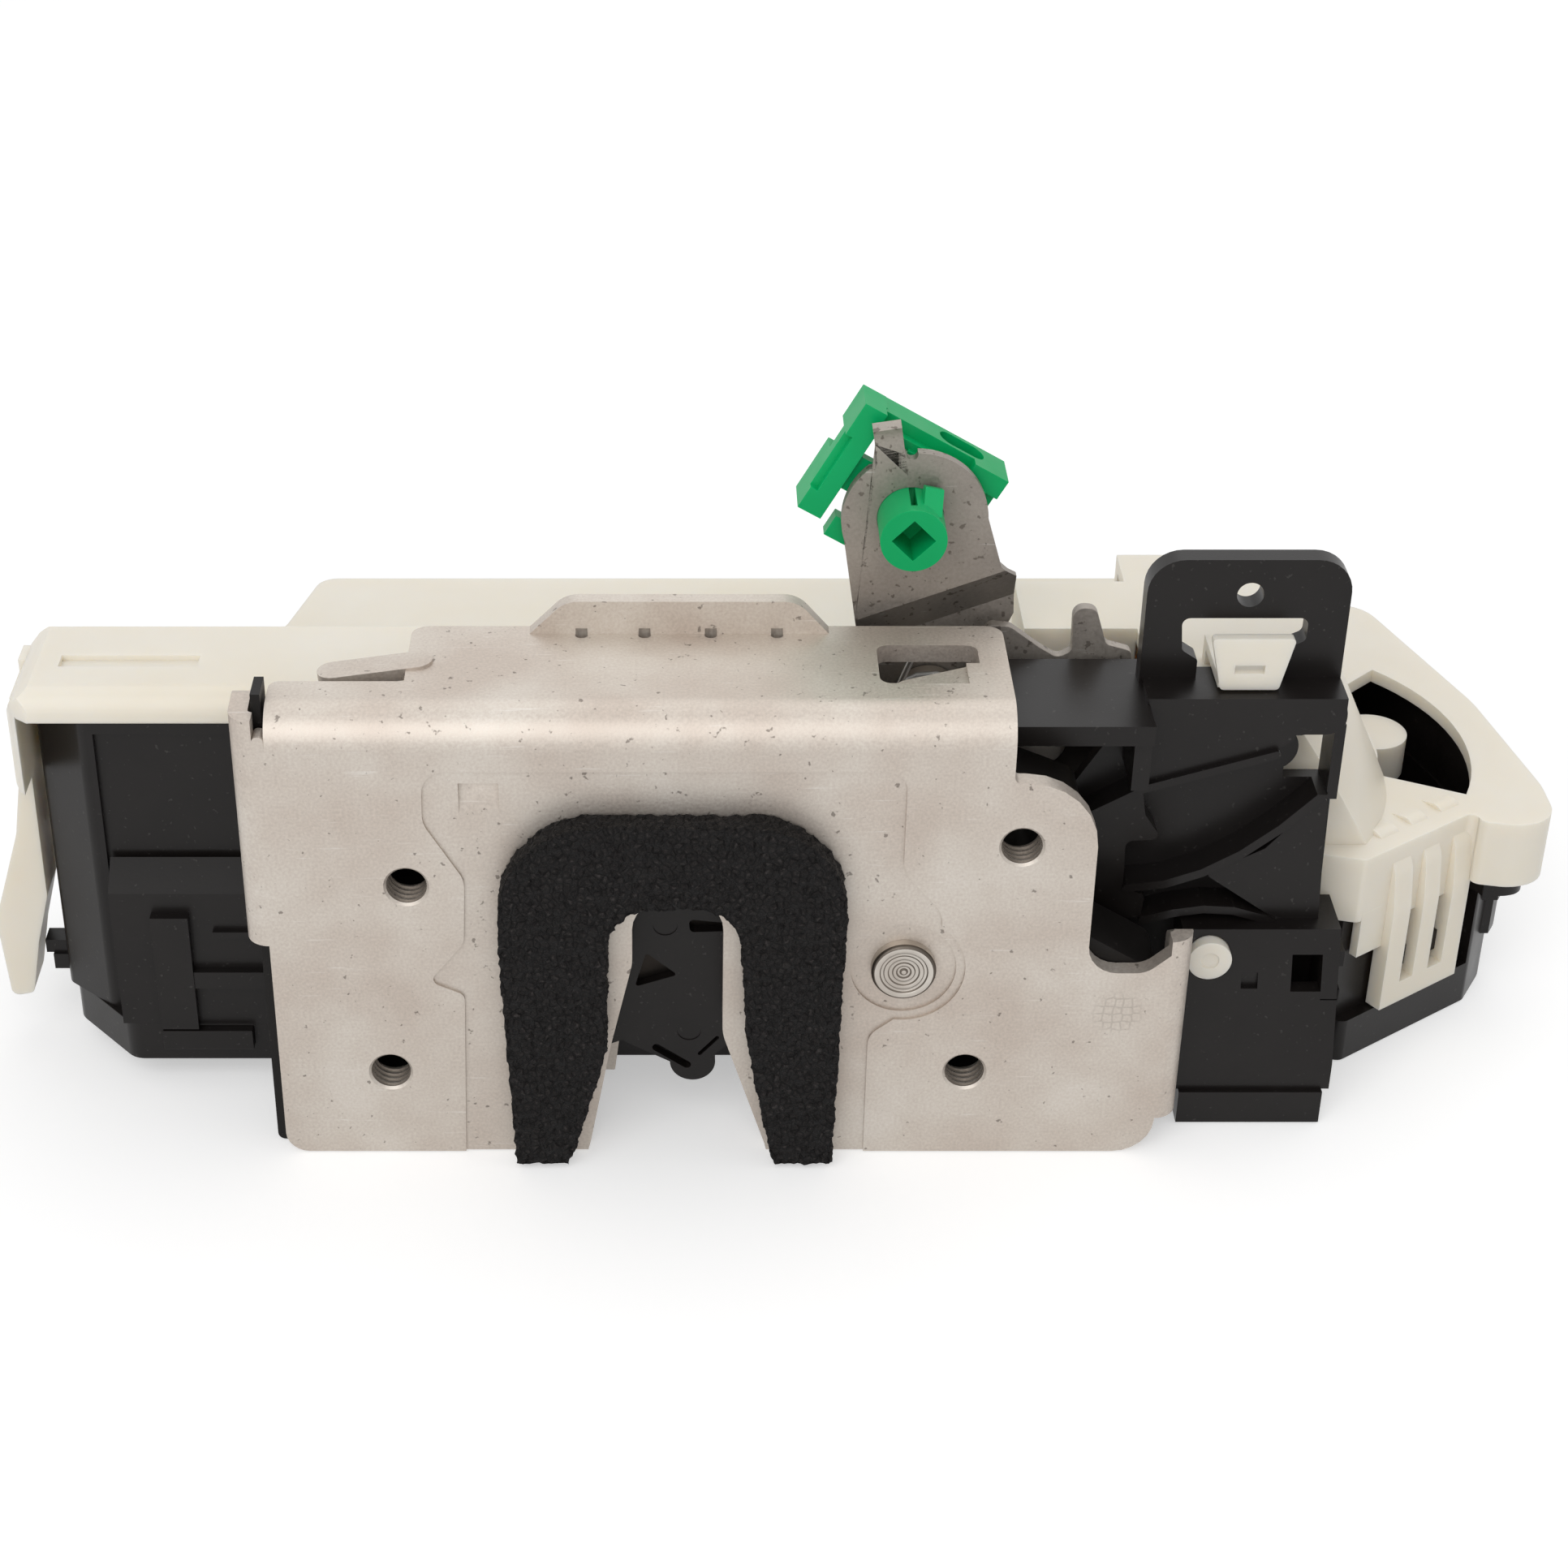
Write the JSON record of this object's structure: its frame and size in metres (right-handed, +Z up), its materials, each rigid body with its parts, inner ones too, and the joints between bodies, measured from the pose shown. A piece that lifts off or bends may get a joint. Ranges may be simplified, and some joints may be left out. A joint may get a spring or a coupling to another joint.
{
  "type": "door latch actuator",
  "caption": "Side door latch with steel striker plate, foam seal, overmoulded claw, release levers with a green rod clip and a moulded actuator with worm driven lock lever.",
  "frame": {"origin": "middle of the striker mouth, on the front face and lower edge of the latch plate", "axes": "+X along the latch plate towards the lobe, +Y into the door, +Z up; the assembly rests on Z = 0"},
  "size_m": [0.2124, 0.0964, 0.0946],
  "materials": {
    "plate_steel": "zinc plated, satin",
    "lever_steel": "phosphated, satin",
    "pin_steel": "satin",
    "spring_steel": "oiled",
    "black_plastic": "satin moulded",
    "claw_plastic": "satin moulded",
    "natural_nylon": "natural, slightly translucent",
    "green_plastic": "moulded",
    "foam": "open cell foam",
    "black_rubber": "matt",
    "brass_tin": "stamped"
  },
  "bodies": {
    "frame": {"latch_plate": "plate_steel", "foam_seal": "foam", "latch_housing": "black_plastic", "back_plate": "plate_steel", "fork_bolt_rivet": "pin_steel", "fork_bolt_spring": "spring_steel", "claw_bumper": "black_rubber", "pawl_rivet": "pin_steel", "pawl_spring": "spring_steel", "outside_lever_pin": "pin_steel", "outside_lever_spring": "spring_steel", "inside_lever_pin": "pin_steel", "inside_lever_spring": "spring_steel", "cable_bracket": "black_plastic", "actuator_base": "black_plastic", "lower_cover": "black_plastic", "actuator_cover": "natural_nylon", "cover_screws": "pin_steel", "stake_post": "natural_nylon", "motor_can": "plate_steel", "motor_end_cap": "black_plastic", "wheel_axle": "pin_steel", "lock_lever_axle": "pin_steel", "circuit_carrier": "black_plastic", "ajar_switch": "black_plastic", "lock_switch": "black_plastic", "connector_pins": "brass_tin", "motor_terminals": "brass_tin"},
    "claw": {"fork_bolt_core": "lever_steel", "fork_bolt_cover": "claw_plastic"},
    "pawl": {"pawl": "lever_steel"},
    "outside_lever": {"outside_release_lever": "lever_steel"},
    "clip": {"rod_clip": "green_plastic"},
    "inside_lever": {"inside_release_lever": "lever_steel"},
    "worm": {"motor_shaft": "pin_steel", "motor_worm": "natural_nylon"},
    "wheel": {"worm_wheel": "natural_nylon"},
    "lock": {"lock_lever": "natural_nylon"}
  },
  "joints": [
    {"name": "fork_bolt_turn", "type": "hinge", "parent": "frame", "child": "claw", "pos_m": [0.0288, 0.0086, 0.0294], "axis": [0, 1, 0], "range_deg": [0, 52.8], "stiffness_Nm_per_rad": 0.002, "springref_deg": -34.38, "deforming": ["fork_bolt_spring"]},
    {"name": "pawl_turn", "type": "hinge", "parent": "frame", "child": "pawl", "pos_m": [-0.019, 0.0086, 0.033], "axis": [0, 1, 0], "range_deg": [0, 11], "deforming": ["pawl_spring"]},
    {"name": "outside_lever_turn", "type": "hinge", "parent": "frame", "child": "outside_lever", "pos_m": [0.033, 0.032, 0.052], "axis": [0, -1, 0], "range_deg": [0, 18], "stiffness_Nm_per_rad": 0.05, "springref_deg": -20.05, "deforming": ["outside_lever_spring"]},
    {"name": "clip_swivel", "type": "hinge", "parent": "outside_lever", "child": "clip", "pos_m": [0.0294, 0.028, 0.0798], "axis": [0, 1, 0], "range_deg": [-20, 20]},
    {"name": "inside_lever_turn", "type": "hinge", "parent": "frame", "child": "inside_lever", "pos_m": [0.0475, 0.0285, 0.0476], "axis": [0, -1, 0], "range_deg": [0, 10], "stiffness_Nm_per_rad": 0.02, "springref_deg": -17.19, "deforming": ["inside_lever_spring"]},
    {"name": "worm_turn", "type": "hinge", "parent": "frame", "child": "worm", "pos_m": [0.06303, 0.05197, 0.018], "axis": [1, 0, 0], "range_deg": [0, 3240]},
    {"name": "wheel_turn", "type": "hinge", "parent": "frame", "child": "wheel", "pos_m": [0.06303, 0.06697, 0.018], "axis": [0, 0, 1], "range_deg": [-0.5, 108.5]},
    {"name": "lock_lever_turn", "type": "hinge", "parent": "frame", "child": "lock", "pos_m": [0.08, 0.05, 0.0245], "axis": [0, 0, 1], "range_deg": [-36.5, 0.5]}
  ],
  "couplings": [
    {"joint": "wheel_turn", "follows": "worm_turn", "ratio": 0.033333},
    {"joint": "lock_lever_turn", "follows": "worm_turn", "ratio": -0.011111}
  ]
}
